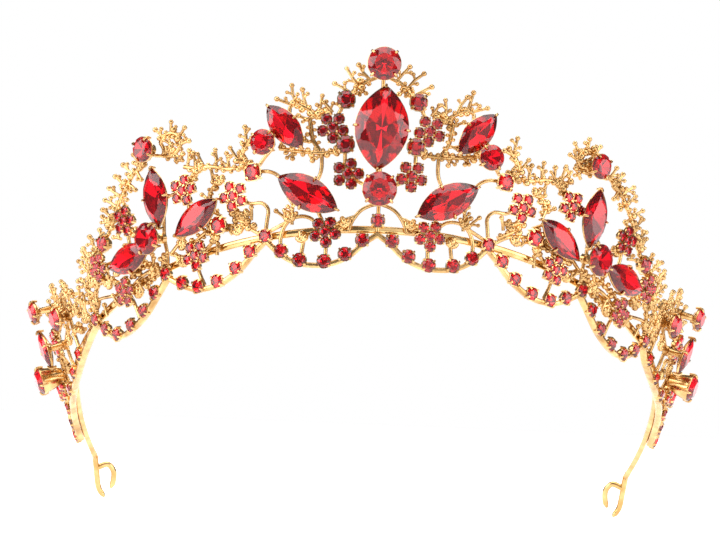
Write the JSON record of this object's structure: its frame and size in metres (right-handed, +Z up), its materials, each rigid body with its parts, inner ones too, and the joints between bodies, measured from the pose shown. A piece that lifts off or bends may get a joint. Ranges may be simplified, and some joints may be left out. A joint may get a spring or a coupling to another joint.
{
  "type": "tiara",
  "caption": "Rigid U-shaped tiara: a smooth base band with end hooks, openwork frames with coral-like crest twigs, and red cut glass stones in pronged cups.",
  "frame": {"origin": "middle of the flat facet on the base band's inner face, at the front centre", "axes": "+Y into the head from the front facet, +X to the wearer's left, +Z up; the tiara lies as it is worn, with its ends lower than its front"},
  "size_m": [0.1711, 0.1317, 0.117],
  "materials": {
    "polished_gold": "polished gold plating",
    "cast_gold": "bright gold plating on a cast alloy",
    "cup_gold": "bright gold plating",
    "red_glass": "faceted, foil-backed"
  },
  "bodies": {
    "root": {"base_band": "polished_gold", "centre_frame": "cast_gold", "left_front_frame": "cast_gold", "left_side_frame": "cast_gold", "right_front_frame": "cast_gold", "right_side_frame": "cast_gold", "crown_round_cup": "cup_gold", "crown_round_stone": "red_glass", "centre_drop_cup": "cup_gold", "centre_drop_stone": "red_glass", "lower_round_cup": "cup_gold", "lower_round_stone": "red_glass", "left_inner_navette_cup": "cup_gold", "left_inner_navette_stone": "red_glass", "left_crest_navette_cup": "cup_gold", "left_crest_navette_stone": "red_glass", "left_crest_round_cup": "cup_gold", "left_crest_round_stone": "red_glass", "left_peak_round_cup": "cup_gold", "left_peak_round_stone": "red_glass", "left_peak_navette_cup": "cup_gold", "left_peak_navette_stone": "red_glass", "left_fan_navette_inner_cup": "cup_gold", "left_fan_navette_inner_stone": "red_glass", "left_fan_navette_outer_cup": "cup_gold", "left_fan_navette_outer_stone": "red_glass", "left_fan_round_cup": "cup_gold", "left_fan_round_stone": "red_glass", "left_side_round_low_cup": "cup_gold", "left_side_round_low_stone": "red_glass", "left_side_round_high_cup": "cup_gold", "left_side_round_high_stone": "red_glass", "left_side_navette_cup": "cup_gold", "left_side_navette_stone": "red_glass", "left_flank_round_cup": "cup_gold", "left_flank_round_stone": "red_glass", "right_inner_navette_cup": "cup_gold", "right_inner_navette_stone": "red_glass", "right_crest_navette_cup": "cup_gold", "right_crest_navette_stone": "red_glass", "right_crest_round_cup": "cup_gold", "right_crest_round_stone": "red_glass", "right_peak_round_cup": "cup_gold", "right_peak_round_stone": "red_glass", "right_peak_navette_cup": "cup_gold", "right_peak_navette_stone": "red_glass", "right_fan_navette_inner_cup": "cup_gold", "right_fan_navette_inner_stone": "red_glass", "right_fan_navette_outer_cup": "cup_gold", "right_fan_navette_outer_stone": "red_glass", "right_fan_round_cup": "cup_gold", "right_fan_round_stone": "red_glass", "right_side_round_low_cup": "cup_gold", "right_side_round_low_stone": "red_glass", "right_side_round_high_cup": "cup_gold", "right_side_round_high_stone": "red_glass", "right_side_navette_cup": "cup_gold", "right_side_navette_stone": "red_glass", "right_flank_round_cup": "cup_gold", "right_flank_round_stone": "red_glass"}
  },
  "joints": []
}
